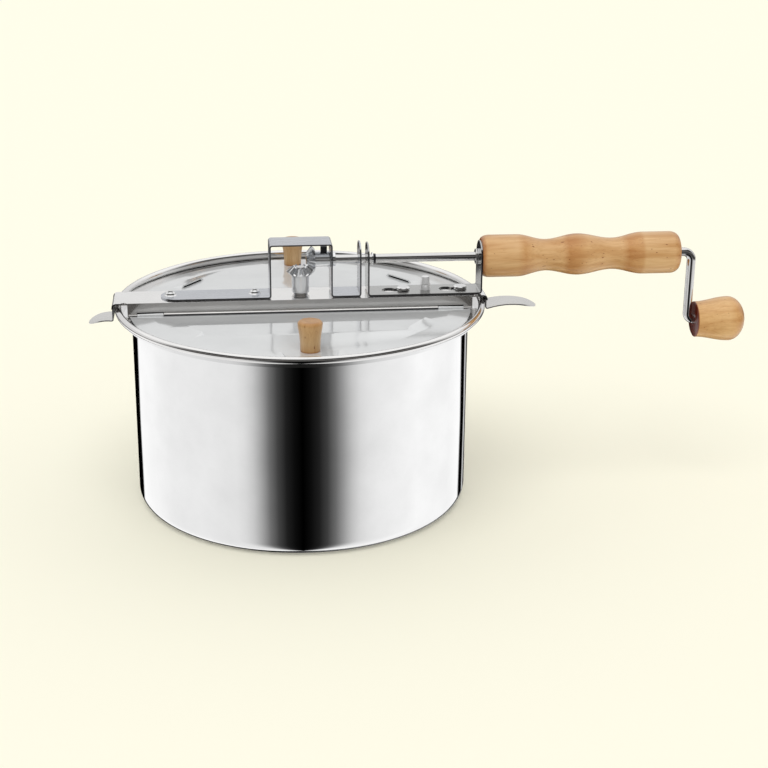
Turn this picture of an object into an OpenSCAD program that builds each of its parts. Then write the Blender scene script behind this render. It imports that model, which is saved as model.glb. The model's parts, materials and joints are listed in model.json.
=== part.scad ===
// Stovetop popcorn popper: a steel pot with a hinged half-round lid on each side
// of a bridge that carries a hand crank, a bevel pair and a stirrer.
// X runs along the bridge towards the crank, Y to the back and Z up, and the
// origin is the centre of the pot's flat base. Lengths are in millimetres.

/* [Pot] */
// Outer radius of the wall
pot_r = 106.5; // [98:0.5:125]
// Height to the top of the rolled rim
pot_h = 130.3; // [110:0.1:170]
// Sheet of the pot
pot_t = 0.8; // [0.6:0.1:1.2]
// Outer radius of the corner at the foot
foot_r = 8; // [5:0.5:14]
// Diameter of the rolled rim
bead_d = 3.2; // [2.8:0.1:3.6]
// Width of the ledge, from the wall to the riser under the rim
ledge_w = 7.3; // [6.5:0.1:9]
// Depth of the ledge under the top of the rim
ledge_drop = 6.2; // [5.6:0.1:7]

/* [Lids] */
// Sheet of the lids
lid_t = 0.8; // [0.6:0.1:1]
// How far the lids lie over the ledge
lid_lap = 1.5; // [1:0.1:3]
// Width of the bevel along the round edge
bevel_w = 12.5; // [5:0.5:14]
// Rise of the panel over the edge
panel_rise = 1.3; // [0.8:0.1:2]
// Width of the low strip beside the hinge
hinge_strip = 10; // [9.5:0.1:13]
// Width of the slope from that strip to the panel
slope_w = 1.6; // [1:0.1:3]
// Radius at which the vents open
vent_r = 84.2; // [70:0.1:85]
// Length of a vent
vent_l = 27; // [16:1:32]
// Width of a vent
vent_w = 10; // [6:0.5:10]
// Height of a vent at its opening
vent_h = 1.8; // [1.5:0.1:3]
// Angle of a vent from the bridge
vent_angle = 35.5; // [35:0.5:50]

/* [Lid knobs] */
// Distance of the knobs from the round edge
knob_inset = 15.3; // [12:0.1:25]
// Largest diameter of a lid knob
knob_d = 15; // [10:0.1:16]
// Height of a lid knob
knob_h = 18.3; // [14:0.1:22]
// Width of the flat pad under a knob
pad_w = 34; // [20:1:40]

/* [Bridge] */
// Width of the bridge
bridge_w = 26; // [22:0.5:34]
// Sheet of the bridge
bridge_t = 0.9; // [0.7:0.1:1.2]
// Height of the bridge's underside over the rim
bridge_gap = 1.9; // [1.8:0.1:4]
// How far the bridge reaches past the rim
end_reach = 1.3; // [1.3:0.1:3]
// Depth of the lips at the bridge's ends
lip_h = 3.5; // [2:0.1:6]
// Length of a lid knuckle
knuckle_l = 16; // [8:0.5:24]
// Diameter of the hinge wires
wire_d = 1.5; // [1.2:0.1:2]

/* [Gear frame and handle bracket] */
// Width of the bent strips
strip_w = 20; // [18:0.5:22]
// Thickness of the bent strips
strip_t = 1; // [0.8:0.1:1.4]
// Outer width of the gear frame
frame_w = 39.6; // [38:0.2:46]
// Height of the gear frame over the bridge
frame_h = 34.5; // [33:0.1:45]
// Length of the gear frame's right foot
frame_foot_l = 17.1; // [12:0.1:24]
// Height of the crank's axis over the bridge
shaft_rise = 22.1; // [21.5:0.1:24]
// Gap between the ears, where the shafts meet
ear_gap = 4.1; // [3.6:0.1:6]
// Travel of the bracket on its keyholes
key_travel = 9; // [8.5:0.1:10]
// Diameter of the studs' heads
stud_d = 8.6; // [7:0.1:8.8]
// Travel of the locking plunger
plunger_travel = 1.2; // [0.8:0.1:1.2]

/* [Gears and shafts] */
// Diameter of the crank rod and both shafts
rod_d = 5.6; // [4.6:0.1:6]
// Pitch radius of both bevel gears at their large end
gear_r = 8; // [7.5:0.1:8.4]
// Number of teeth of each bevel gear
gear_teeth = 12; // [12:2:16]
// Width of the gear teeth along the cone
face_w = 5; // [3:0.1:5.5]
// Diameter of the stirrer wires
stir_wire_d = 3; // [2:0.1:4]
// Space between the stirrer wires' tips and the pot's wall
stir_gap = 9; // [5:0.5:20]

/* [Handle and crank] */
// Length of the wooden handle
handle_l = 128.8; // [90:0.1:160]
// Largest diameter of the handle
handle_d = 27; // [22:0.5:34]
// Diameter of the handle's waists
waist_d = 20.1; // [15:0.1:21.5]
// Throw of the crank
throw = 46; // [36:1:60]
// Length of the crank knob
crank_knob_l = 34.2; // [26:0.1:44]
// Largest diameter of the crank knob
crank_knob_d = 29.1; // [20:0.1:36]

/* [Latches] */
// Length of the left thumb tab
left_tab_l = 15.6; // [11:0.1:30]
// Length of the right thumb tab
right_tab_l = 34; // [20:0.1:40]
// Width of the latches
latch_w = 19.6; // [14:0.1:20]
// Sheet of the latches
latch_t = 0.8; // [0.6:0.1:1]

/* [Hidden] */
$fn = 128;

// Clearances: a running fit, a fixed fit, a seat and the overrun of a cut
run_fit = 0.05;
snug = 0.02;
seat_gap = 0.3;
over = 1;
// Lap of two bodies that make one piece
lap = 0.5;

// Pot and rim
riser_r = pot_r + ledge_w;
bead_r = riser_r + bead_d / 2;
rim_r = riser_r + bead_d;
ledge_z = pot_h - ledge_drop;
bead_z = pot_h - bead_d / 2;
shoulder_r = 1.5;
bead_start_angle = -120;

// Lids: the hinge's axis lies level with the top of their low strip
lid_r = pot_r + lid_lap;
hinge_z = ledge_z + seat_gap + lid_t;
panel_z = hinge_z + panel_rise;
knob_y = lid_r - knob_inset;
knob_screw_d = 3;
slot_w = 0.6;
knob_round_angle = 15;
pad_lap = 2;

// Bridge
bridge_top = pot_h + bridge_gap + bridge_t;
bridge_under = bridge_top - bridge_t;
bridge_end = rim_r + end_reach;
flange_y = bridge_w / 2;
wire_r = wire_d / 2;
hinge_y = flange_y + wire_r + run_fit;
roll_r = wire_r + run_fit + bridge_t;
knuckle_r = wire_r + run_fit + lid_t;
knuckle_tip_r = wire_r + run_fit + lid_t / 2;
wire_inset = 0.5;
flange_end = lid_r + 0.5 * bridge_t;
flange_foot_l = 6;
knuckle_out = flange_end - flange_foot_l;
knuckle_in = knuckle_out - knuckle_l;
lid_edge_y = hinge_y + roll_r + seat_gap;
lid_low_y = hinge_y + hinge_strip;
lip_w = (bridge_w - latch_w) / 2 - 2 * seat_gap;
notch_r = 1.75;
end_bend_r = 2.4;

// Shafts and gears: both cones meet where the two axes cross
axis_z = bridge_top + shaft_rise;
rod_r = rod_d / 2;
gear_module = 2 * gear_r / gear_teeth;
cone_share = (sqrt(2) * gear_r - face_w) / (sqrt(2) * gear_r);
pressure_angle = 20;
backlash_share = 0.05;
addendum_share = 0.96;
dedendum_share = 1.25;
flank_shares = [0, 0.35, 0.65, 1];
core_share = 0.97;
hub_r = 5.1;
lower_hub_r = 5.6;
grub_d = 3;
grub_inset = 0.2;
pinion_screw_inset = 3.7;
head_gap = 0.1;
pinion_shaft_out = 1.5;
stir_shaft_out = 0.8;
stir_screw_rise = 3.5;

// Gear frame
frame_x = frame_w / 2;
strip_r = 1.4;
foot_z = bridge_top + strip_t;
foot_inset = 30.3;
frame_end = bridge_end - foot_inset;
frame_top = bridge_top + frame_h;
ear_x = frame_x + frame_foot_l;
ear_corner = 8;
screw_d = 4;
screw_head_d = 8;
screw_head_h = 2.2;
screw_out = 0.5;
cross_w = 0.8;
end_screw_inset = 6.1;
arch_screw_out = 9.2;
screw_places = [[end_screw_inset - frame_end, 0], [-frame_x - arch_screw_out, 0]];
nut_h = 3;
nut_d = 7.6;

// Handle bracket
bracket_x = ear_x + strip_t + ear_gap;
bracket_inset = 3.3;
bracket_end = bridge_end - bracket_inset;
bracket_l = bracket_end - bracket_x;
ear_drop = 1.2;
bracket_drop = 2.2;
ear_top = frame_top - ear_drop;
stud_shares = [0.323, 0.825];
plunger_share = 0.517;
stud_neck_r = 2.5;
stud_head_h = 1.8;
stud_rivet_r = 3.2;
stud_rivet_h = 0.8;
plunger_x = bracket_x + plunger_share * bracket_l;
sleeve_r = 3.4;
sleeve_wall = 0.5;
pin_r = 1.4;
collar_h = 0.5;
spring_solid_h = 1.3;
sleeve_h = collar_h + plunger_travel + spring_solid_h + sleeve_wall;
cap_h = 4.8;
cap_r = 3.3;
cap_top_r = 2.45;
spring_wire_d = 0.4;
spring_turns = 2;
spring_sides = 6;
spring_rings = 8;
spring_r = sleeve_r - sleeve_wall - spring_wire_d;
spring_low = foot_z + collar_h + spring_wire_d / 2 + snug;
spring_high = foot_z + sleeve_h - sleeve_wall - spring_wire_d / 2 - snug;

// Shaft coupling between the ears
tang_l = 2.2;
tang_t = 1.8;
tang_fit = 0.1;
shaft_end_gap = 0.8;
rod_start_gap = 0.5;
shaft_end = bracket_x - shaft_end_gap;
rod_start = bracket_x - rod_start_gap;

// Rings on the shaft and rod: gap to the ear beside each, width and wall
washer_gap = 0.6;
shaft_washer_t = 1.7;
shaft_washer_wall = 1.7;
collar_gap = 2.2;
rod_collar_t = 0.8;
rod_collar_wall = 1.1;
ring_gap = collar_gap + rod_collar_t + run_fit;
ring_t = 1.6;
ring_wall = 0.3;
push_nut_t = 1;
push_nut_gap = 0.4;

// Handle and crank
tube_wall = 1.15;
tube_r = rod_r + run_fit + tube_wall;
tube_flange_r = 4.85;
tube_flange_t = 1;
wood_gap = 0.1;
handle_x = bracket_end + wood_gap;
handle_end = handle_x + handle_l;
crank_clear = 9.7;
bend_r = 5.6;
low_bend_r = 4.4;
arm_x = handle_end + crank_clear;
knob_x = arm_x + low_bend_r + wood_gap;
knob_end = knob_x + crank_knob_l;
knob_z = axis_z - throw;
rivet_room = 4;
washer_r = 4.5;
washer_t = 0.8;
rivet_r = 3.8;
rivet_h = 1.2;
// Outlines of the turned wood: share of the length, then share of the way from
// the waist or end diameter to the largest diameter
handle_shares = [[0.04, 1], [0.176, 1], [0.325, 0], [0.486, 0.92], [0.66, 0],
    [0.82, 1], [0.955, 1]];
crank_knob_shares = [[0, 0], [0.68, 1]];
crank_knob_face_d = 23.3;
face_round = 1;
end_round = 5;

// Latches
latch_reach = 8.8;
latch_gap = 0.4;
latch_x = rim_r + latch_gap;
latch_z = bridge_under - latch_gap;
latch_bend = 1.2;
latch_round = 1;
latch_step = 0.1;
left_tab_low = 9.3;
right_tab_low = 7.1;
left_tab_z = pot_h - left_tab_low;
right_tab_z = pot_h - right_tab_low;
left_tab_bow = 0.6;
left_tab_fall = 3.4;
right_tab_bow = 4.6;
right_tab_fall = 1.1;
tab_narrow = 1;

// Stirrer
bush_r = 4.2;
bush_flange_r = 4.7;
bush_flange_t = 1.4;
bush_drop = 2;
clip_t = 0.8;
clip_r = 4.8;
groove_depth = 0.5;
floor_gap = 0.6;
hub_floor_t = 1.3;
hub_low = pot_t + floor_gap;
hub_h = 10.5;
foot_hub_r = 6;
stir_z = hub_low + hub_floor_t + stir_wire_d / 2;
stir_turn = 55;
stir_reach = pot_r - pot_t - stir_gap;
stir_hook_l = 24;

// Points of an arc about c with radius r, from angle a to angle b
function arc(c, r, a, b, n = 8) =
    [for (i = [0:n]) c + r * [cos(a + (b - a) * i / n), sin(a + (b - a) * i / n)]];

// Unit vector from p to q
function unit(p, q) = (q - p) / norm(q - p);

// Signed angle through which a line turns from direction u to direction v
function turn(u, v) = atan2(u[0] * v[1] - u[1] * v[0], u * v);

// Arc of radius r that rounds the corner q between p and s
function rounded_corner(p, q, s, r) =
    let (u = unit(p, q), v = unit(q, s), a = turn(u, v),
        side = sign(a), start = q - u * r * abs(tan(a / 2)),
        centre = start + side * r * [-u[1], u[0]],
        from = atan2(start[1] - centre[1], start[0] - centre[0]))
    arc(centre, r, from, from + a, 5);

// Path with its inner corners rounded to radius r
function rounded_path(c, r) = [
    c[0],
    for (i = [1:len(c) - 2]) each rounded_corner(c[i - 1], c[i], c[i + 1], r),
    c[len(c) - 1]];

// Path c moved sideways by d
function sideways(c, d) = [for (i = [0:len(c) - 1])
    let (u = unit(c[max(i - 1, 0)], c[max(i, 1)]),
        v = unit(c[min(i, len(c) - 2)], c[min(i + 1, len(c) - 1)]),
        a = turn(u, v), n = [-u[1], u[0]] + [-v[1], v[0]])
    c[i] + d * n / norm(n) / cos(a / 2)];

function reversed(c) = [for (i = [len(c) - 1:-1:0]) c[i]];

// Outline of a bent sheet of thickness t about the path c
function sheet(c, t) = concat(sideways(c, t / 2), reversed(sideways(c, -t / 2)));

// Points of a curve that leaves p towards q and arrives at s from q
function bow(p, q, s, n = 8) =
    [for (i = [0:n]) let (k = i / n) p * pow(1 - k, 2) + q * 2 * k * (1 - k) + s * k * k];

// Smooth outline through places [x, r]: half a cosine wave between neighbours
function waves(c, n = 8) = [
    for (i = [0:len(c) - 2], j = [0:n - 1])
        let (k = j / n, s = (1 - cos(180 * k)) / 2)
        [c[i][0] + (c[i + 1][0] - c[i][0]) * k, c[i][1] + (c[i + 1][1] - c[i][1]) * s],
    c[len(c) - 1]];

// Solid with outline c in the XZ plane, w wide along Y
module across(c, w) {
    translate([0, w / 2, 0])
        rotate([90, 0, 0])
            linear_extrude(w) polygon(c);
}

// Solid of revolution about the line through z along X, outline points [x, r]
module turned(c, z) {
    translate([0, 0, z])
        rotate([90, 0, 90])
            rotate_extrude() polygon([for (p = c) [p[1], p[0]]]);
}

// Round bar along X from x0 to x1
module bar(x0, x1, r, y = 0, z = 0) {
    translate([x0, y, z]) rotate([0, 90, 0]) cylinder(r = r, h = x1 - x0);
}

// Round bar along Z from z0 to z1
module post(z0, z1, r, x = 0, y = 0) {
    translate([x, y, z0]) cylinder(r = r, h = z1 - z0);
}

// Box between two corners
module block(low, high) {
    translate(low) cube(high - low);
}

// Copies of the children on both sides of the XZ plane
module both_sides() {
    children();
    mirror([0, 1, 0]) children();
}

// Copies of the children at both ends of the bridge
module both_ends() {
    children();
    mirror([1, 0, 0]) children();
}

// Pot: base, wall, ledge, riser and rim as one outline, turned about Z
module pot() {
    out = foot_r;
    in = foot_r - pot_t;
    foot = [pot_r - foot_r, foot_r];
    ledge_low = ledge_z - pot_t;
    bend_in = shoulder_r - pot_t / 2;
    bend_out = shoulder_r + pot_t / 2;
    neck = [pot_r - pot_t + bend_out, ledge_z - bend_out];
    color("silver") rotate_extrude() polygon(concat(
        [[0, 0]],
        arc(foot, out, -90, 0),
        [[pot_r, ledge_z - bend_out]],
        reversed(arc(neck, bend_in, 90, 180, 5)),
        [[riser_r + pot_t, ledge_low], [riser_r + pot_t, bead_z - bead_d / 4]],
        arc([bead_r, bead_z], bead_d / 2, bead_start_angle, 180, 16),
        [[riser_r, ledge_z]],
        arc(neck, bend_out, 90, 180, 5),
        reversed(arc(foot, in, -90, 0)),
        [[0, pot_t]]));
}

// Profile of the bridge's end: the plate with its lip bent down
module bridge_end_plate() {
    c = rounded_path([[flange_end - bridge_t, bridge_top - bridge_t / 2],
        [bridge_end - bridge_t / 2, bridge_top - bridge_t / 2],
        [bridge_end - bridge_t / 2, bridge_top - lip_h]], end_bend_r);
    difference() {
        across(sheet(c, bridge_t), bridge_w);
        block([flange_end, lip_w - flange_y, bridge_top - lip_h - over],
            [bridge_end + over, flange_y - lip_w, bridge_under]);
        both_sides() post(bridge_under - lip_h, bridge_top + over, notch_r,
            flange_end + 1.3 * notch_r, flange_y);
    }
}

// Bridge: plate, flanges with their rolls round the hinge wires, and seats on the ledge
module bridge() {
    seat_z = ledge_z + seat_gap;
    color("gainsboro") difference() {
        union() {
            block([-flange_end, -flange_y, bridge_under], [flange_end, flange_y, bridge_top]);
            both_ends() bridge_end_plate();
            both_sides() {
                block([-flange_end, flange_y - bridge_t, hinge_z + knuckle_r + seat_gap],
                    [flange_end, flange_y, bridge_under]);
                block([seat_gap - knuckle_in, flange_y - bridge_t, hinge_z],
                    [knuckle_in - seat_gap, flange_y, bridge_under]);
                bar(seat_gap - knuckle_in, knuckle_in - seat_gap, roll_r, hinge_y, hinge_z);
                both_ends() block([knuckle_out + seat_gap, flange_y - bridge_t, seat_z],
                    [flange_end, flange_y, bridge_under]);
            }
        }
        both_sides() bar(-knuckle_in - over, knuckle_in + over, wire_r + run_fit, hinge_y, hinge_z);
        post(bridge_under - over, bridge_top + over, bush_r + snug);
        for (p = screw_places) post(bridge_under - over, bridge_top + over, screw_d / 2 + snug, p[0]);
        for (s = stud_shares)
            post(bridge_under - over, bridge_top + over, stud_neck_r + snug, bracket_x + s * bracket_l);
        post(bridge_under - over, bridge_top + over, pin_r + 2 * run_fit, plunger_x);
    }
}

// Straight wire through the rolls and knuckles of one hinge
module hinge_wire(side) {
    color("dimgray") bar(wire_inset - flange_end, flange_end - wire_inset, wire_r, side * hinge_y, hinge_z);
}

// Wedge that is w deep along X from the opening at the origin, l long and h high
module wedge(w, l, h) {
    intersection() {
        across([[0, 0], [w, 0], [0, h]], l);
        rotate([90, 0, 90]) linear_extrude(w)
            polygon([[-l / 2, 0], [l / 2, 0], [l / 2 - 1.2 * h, h], [1.2 * h - l / 2, h]]);
    }
}

// Places a vent at the angle a from the bridge, on the panel
module vent_place(a) {
    rotate([0, 0, a]) translate([vent_r, 0, panel_z]) children();
}

// Solid under the lid's top face, or that face moved down by drop
module lid_body(drop) {
    rotate_extrude() polygon([[0, ledge_z], [lid_r, ledge_z], [lid_r, hinge_z - drop],
        [lid_r - bevel_w, panel_z - drop], [0, panel_z - drop]]);
}

// Lid at the back; the front one is its mirror image
module lid_sheet() {
    slope_y = lid_low_y + slope_w;
    difference() {
        union() {
            difference() {
                intersection() {
                    lid_body(0);
                    translate([-lid_r, slope_y, 0]) cube([2 * lid_r, lid_r, pot_h]);
                }
                difference() {
                    lid_body(lid_t);
                    block([-lid_r, -over, 0], [lid_r, slope_y - lid_t / 2, pot_h]);
                }
            }
            intersection() {
                lid_body(0);
                translate([-lid_r, 0, 0]) rotate([90, 0, 90]) linear_extrude(2 * lid_r)
                    polygon([[lid_low_y, hinge_z], [slope_y, panel_z], [slope_y + lid_t, panel_z],
                        [slope_y + lid_t, panel_z - lid_t], [lid_low_y, hinge_z - lid_t]]);
            }
            intersection() {
                post(hinge_z - lid_t, hinge_z, lid_r);
                block([-lid_r, lid_edge_y, ledge_z], [lid_r, lid_low_y, pot_h]);
            }
            translate([0, 0, panel_z - lid_t]) linear_extrude(lid_t)
                polygon([[-pad_w / 2, lid_r - bevel_w - pad_lap], [pad_w / 2, lid_r - bevel_w - pad_lap],
                    [0.42 * pad_w, lid_r - 0.35 * bevel_w], [-0.42 * pad_w, lid_r - 0.35 * bevel_w]]);
            for (a = [vent_angle, 180 - vent_angle])
                vent_place(a) translate([0, 0, -lid_t]) wedge(vent_w, vent_l, vent_h + lid_t);
            both_ends() {
                translate([knuckle_in, hinge_y, hinge_z]) rotate([0, 90, 0])
                    cylinder(r1 = knuckle_r, r2 = knuckle_tip_r, h = knuckle_l);
                block([knuckle_in, hinge_y + wire_r + run_fit, hinge_z - lid_t],
                    [knuckle_out, lid_edge_y + lid_t, hinge_z]);
            }
        }
        for (a = [vent_angle, 180 - vent_angle])
            vent_place(a) translate([-snug, 0, -2 * lid_t])
                wedge(vent_w - lid_t, vent_l - 3 * lid_t, vent_h + lid_t);
        bar(-knuckle_out - over, knuckle_out + over, wire_r + run_fit, hinge_y, hinge_z);
        post(ledge_z, pot_h + over, knob_screw_d / 2 + snug, 0, knob_y);
    }
}

module front_lid() {
    color("lightgray") mirror([0, 1, 0]) lid_sheet();
}

module rear_lid() {
    color("lightgray") lid_sheet();
}

// Turned lid knob: narrow foot, swelling to a rounded top
module lid_knob(side) {
    r = knob_d / 2;
    round_r = 0.12 * knob_h;
    color("burlywood") translate([0, side * knob_y, panel_z + snug]) difference() {
        rotate_extrude() polygon(concat(
            [[0, 0], [0.79 * r, 0], [0.81 * r, 0.3 * knob_h], [0.87 * r, 0.55 * knob_h],
                [0.97 * r, 0.78 * knob_h]],
            arc([r - round_r, knob_h - round_r], round_r, knob_round_angle, 90, 6),
            [[0, knob_h]]));
        post(-over, 0.66 * knob_h, knob_screw_d / 2 + snug);
    }
}

// Pan-head screw from under a lid into its knob
module knob_screw(side) {
    low = panel_z - lid_t - snug;
    color("silver") translate([0, side * knob_y, 0]) difference() {
        union() {
            post(low, panel_z + 0.6 * knob_h, knob_screw_d / 2);
            translate([0, 0, low - 0.5 * knob_screw_d])
                cylinder(r1 = 0.75 * knob_screw_d, r2 = knob_screw_d, h = 0.5 * knob_screw_d);
        }
        block([-knob_screw_d / 2, -slot_w / 2, low - 0.6 * knob_screw_d],
            [knob_screw_d / 2, slot_w / 2, low - 0.25 * knob_screw_d]);
    }
}

// Spring clip: pad under the bridge, strip down outside the rim, bowed thumb tab
module latch(tab_l, tab_z, crown, drop) {
    root = [latch_x + latch_t / 2, tab_z];
    tip = [root[0] + tab_l, tab_z - drop];
    start = root + [latch_bend, 0];
    path = concat(
        rounded_path([[latch_x - latch_reach, latch_z - latch_t / 2],
            [root[0], latch_z - latch_t / 2], root, start + [latch_step, snug]], latch_round),
        [for (i = [1:8]) bow(start, [(start[0] + tip[0]) / 2, tab_z + crown], tip)[i]]);
    half = latch_w / 2;
    tip_r = half - tab_narrow;
    color("silver") intersection() {
        across(sheet(path, latch_t), latch_w);
        linear_extrude(bridge_top) union() {
            polygon([[0, -half], [root[0], -half], [tip[0] - tip_r, -tip_r],
                [tip[0] - tip_r, tip_r], [root[0], half], [0, half]]);
            translate([tip[0] - tip_r, 0]) circle(tip_r);
        }
    }
}

module left_latch() {
    mirror([1, 0, 0]) latch(left_tab_l, left_tab_z, left_tab_bow, left_tab_fall);
}

module right_latch() {
    latch(right_tab_l, right_tab_z, right_tab_bow, right_tab_fall);
}

// Plate outline with two rounded top corners, for an ear that is w wide and stands to z1
module ear_shape(x0, x1, z1, corner) {
    translate([x0, 0, 0]) rotate([90, 0, 90]) linear_extrude(x1 - x0) union() {
        translate([-strip_w / 2, 0]) square([strip_w, z1 - corner]);
        translate([corner - strip_w / 2, 0]) square([strip_w - 2 * corner, z1]);
        for (s = [-1, 1]) translate([s * (strip_w / 2 - corner), z1 - corner]) circle(corner);
    }
}

// Gear frame: left foot, arch over the gears, right foot and first ear in one strip
module gear_frame() {
    mid = strip_t / 2;
    path = rounded_path([[-frame_end, bridge_top + mid], [mid - frame_x, bridge_top + mid],
        [mid - frame_x, frame_top - mid], [frame_x - mid, frame_top - mid],
        [frame_x - mid, bridge_top + mid], [ear_x + mid, bridge_top + mid],
        [ear_x + mid, ear_top]], strip_r);
    half = strip_w / 2;
    color("lightsteelblue") difference() {
        intersection() {
            across(sheet(path, strip_t), strip_w);
            union() {
                block([half - frame_end, -half, 0], [frame_x + over, half, frame_top]);
                post(0, frame_top, half, half - frame_end);
                ear_shape(frame_x, ear_x + strip_t, ear_top, ear_corner);
            }
        }
        bar(over, ear_x + strip_t + over, rod_r + run_fit, 0, axis_z);
        for (p = screw_places) post(bridge_top - over, foot_z + over, screw_d / 2 + snug, p[0]);
    }
}

// Two pan-head screws through the frame's left foot
module frame_screws() {
    color("silver") for (p = screw_places) translate([p[0], 0, 0]) difference() {
        union() {
            post(bridge_under - nut_h - screw_out, foot_z + over, screw_d / 2);
            translate([0, 0, foot_z + snug]) rotate_extrude() polygon(concat(
                [[0, 0], [screw_head_d / 2, 0]],
                arc([screw_head_d / 2 - screw_head_h, screw_head_h / 3], 2 * screw_head_h / 3, 0, 90, 5),
                [[0, screw_head_h]]));
        }
        for (a = [45, 135]) rotate([0, 0, a])
            block([-0.28 * screw_head_d, -cross_w / 2, foot_z + 0.4 * screw_head_h],
                [0.28 * screw_head_d, cross_w / 2, foot_z + screw_head_h + over]);
    }
}

// Their nuts under the bridge
module frame_nuts() {
    color("silver") for (p = screw_places) translate([p[0], 0, bridge_under - nut_h - snug])
        difference() {
            cylinder(d = nut_d, h = nut_h, $fn = 6);
            translate([0, 0, -over]) cylinder(r = screw_d / 2 + snug, h = nut_h + 2 * over);
        }
}

// Shouldered studs riveted in the bridge, for the bracket's keyholes
module keyhole_studs() {
    color("silver") for (s = stud_shares) translate([bracket_x + s * bracket_l, 0, 0])
        rotate_extrude() polygon([[0, bridge_under - stud_rivet_h], [stud_rivet_r, bridge_under - stud_rivet_h],
            [stud_rivet_r, bridge_under], [stud_neck_r, bridge_under],
            [stud_neck_r, foot_z + seat_gap], [stud_d / 2, foot_z + seat_gap],
            [stud_d / 2, foot_z + seat_gap + 0.7 * stud_head_h],
            [0.42 * stud_d, foot_z + seat_gap + stud_head_h], [0, foot_z + seat_gap + stud_head_h]]);
}

// Handle bracket: left ear, foot with keyholes and right ear in one strip
module handle_bracket() {
    mid = strip_t / 2;
    top = frame_top - bracket_drop;
    path = rounded_path([[bracket_x + mid, top], [bracket_x + mid, bridge_top + mid],
        [bracket_end - mid, bridge_top + mid], [bracket_end - mid, top]], strip_r);
    color("lightsteelblue") difference() {
        intersection() {
            across(sheet(path, strip_t), strip_w);
            union() {
                ear_shape(bracket_x, bracket_x + bracket_l / 2, top, ear_corner);
                ear_shape(bracket_x + bracket_l / 2, bracket_end, top, strip_w / 2 - snug);
            }
        }
        bar(bracket_x - over, bracket_x + bracket_l / 2, rod_r + run_fit, 0, axis_z);
        bar(bracket_x + bracket_l / 2, bracket_end + over, tube_r + snug, 0, axis_z);
        post(bridge_top - over, foot_z + over, pin_r + run_fit, plunger_x);
        for (s = stud_shares) translate([bracket_x + s * bracket_l, 0, bridge_top - over]) {
            slot_r = stud_neck_r + seat_gap / 2;
            cylinder(r = slot_r, h = strip_t + 2 * over);
            translate([-key_travel, -slot_r, 0]) cube([key_travel, 2 * slot_r, strip_t + 2 * over]);
            translate([-key_travel, 0, 0]) cylinder(r = stud_d / 2 + seat_gap, h = strip_t + 2 * over);
        }
    }
}

// Pull pin that locks the bracket: ribbed cap, pin and collar
module locking_plunger() {
    cap_z = foot_z + sleeve_h + seat_gap;
    color("silver") translate([plunger_x, 0, 0]) union() {
        post(bridge_top, cap_z + over, pin_r);
        post(foot_z + snug, foot_z + collar_h, sleeve_r - sleeve_wall - run_fit);
        translate([0, 0, cap_z]) cylinder(r1 = cap_r, r2 = cap_top_r, h = cap_h, $fn = 10);
    }
}

// Sleeve of the plunger, closed over its spring
module plunger_sleeve() {
    color("gray") translate([plunger_x, 0, foot_z]) difference() {
        cylinder(r = sleeve_r, h = sleeve_h);
        translate([0, 0, -over]) cylinder(r = sleeve_r - sleeve_wall, h = sleeve_h - sleeve_wall + over);
        cylinder(r = pin_r + run_fit, h = sleeve_h + over);
    }
}

// Point of the spring's tube: ring i of n rings, side j
function spring_point(i, n, j) =
    let (a = 360 * spring_turns * i / n, b = 360 * j / spring_sides,
        r = spring_r + spring_wire_d / 2 * cos(b))
    [r * cos(a), r * sin(a),
        spring_low + (spring_high - spring_low) * i / n + spring_wire_d / 2 * sin(b)];

// Coil spring between the plunger's collar and the closed end of its sleeve
module plunger_spring() {
    n = spring_turns * spring_rings;
    m = spring_sides;
    sides = [for (i = [0:n - 1], j = [0:m - 1])
        let (a = i * m + j, b = i * m + (j + 1) % m) each [[a, a + m, b], [b, a + m, b + m]]];
    ends = [for (j = [1:m - 2]) each [[0, j, j + 1], [n * m, n * m + j + 1, n * m + j]]];
    color("gray") translate([plunger_x, 0, 0])
        polyhedron([for (i = [0:n], j = [0:m - 1]) spring_point(i, n, j)], concat(sides, ends));
}

// Steel tube in the handle, staked to the bracket's right ear
module handle_tube() {
    left = bracket_end - strip_t - snug;
    color("silver") difference() {
        union() {
            bar(left - tube_flange_t, left, tube_flange_r, 0, axis_z);
            bar(left - tube_flange_t, handle_end - end_round, tube_r, 0, axis_z);
        }
        bar(left - tube_flange_t - over, handle_end, rod_r + run_fit, 0, axis_z);
    }
}

// Outline [x, r] of a turned piece of length l from x0, through shares of its length
function wood_outline(x0, l, places, low, high) =
    waves([for (p = places) [x0 + p[0] * l, low + p[1] * (high - low)]]);

// Turned handle with two waists, bored for the tube
module wood_handle() {
    r = handle_d / 2;
    body = wood_outline(handle_x, handle_l, handle_shares, waist_d / 2, r);
    edge = handle_shares[0][0] * handle_l;
    tail = (1 - handle_shares[len(handle_shares) - 1][0]) * handle_l;
    color("burlywood") difference() {
        turned(concat([[handle_x, 0]],
            [for (a = [180:-15:105]) [handle_x + edge * (1 + cos(a)), r - edge / 2 * (1 - sin(a))]],
            body,
            [for (a = [75:-15:0]) [handle_end - tail * (1 - cos(a)), r - tail / 1.5 * (1 - sin(a))]],
            [[handle_end, 0]]), axis_z);
        bar(handle_x - over, handle_end + over, tube_r + snug, 0, axis_z);
    }
}

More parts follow.
